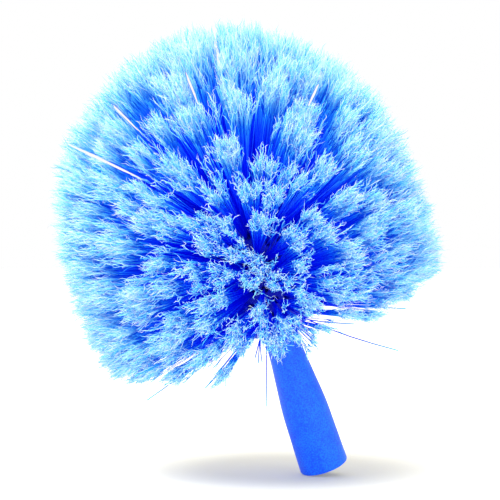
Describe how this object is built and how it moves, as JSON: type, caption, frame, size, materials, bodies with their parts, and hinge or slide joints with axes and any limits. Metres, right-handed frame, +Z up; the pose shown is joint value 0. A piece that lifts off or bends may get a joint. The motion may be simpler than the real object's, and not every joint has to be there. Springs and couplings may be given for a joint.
{
  "type": "cobweb duster head",
  "caption": "Domed cobweb duster head: split-end bristle tufts fan from a turned block on a tapered socket that takes a pole.",
  "frame": {"origin": "centre of the socket's mouth, on the plane of its rim, which is the lowest face", "axes": "+Z runs up the socket through the block to the crown; X and Y are equal, and a crown tuft leg points along -Y"},
  "size_m": [0.2193, 0.2198, 0.2813],
  "materials": {
    "socket_plastic": "satin moulded polypropylene, bright blue",
    "block_plastic": "satin moulded polypropylene, deep blue",
    "bristle": "fine polyester filament, blue at the root and pale cyan at the split tips"
  },
  "bodies": {
    "root": {"pole_socket": "socket_plastic", "block_core": "block_plastic", "crown_tuft": "bristle", "tuft_ring_01": "bristle", "tuft_ring_02": "bristle", "tuft_ring_03": "bristle", "tuft_ring_04": "bristle", "tuft_ring_05": "bristle", "tuft_ring_06": "bristle", "tuft_ring_07": "bristle", "tuft_ring_08": "bristle", "tuft_ring_09": "bristle", "tuft_ring_10": "bristle"}
  },
  "joints": []
}
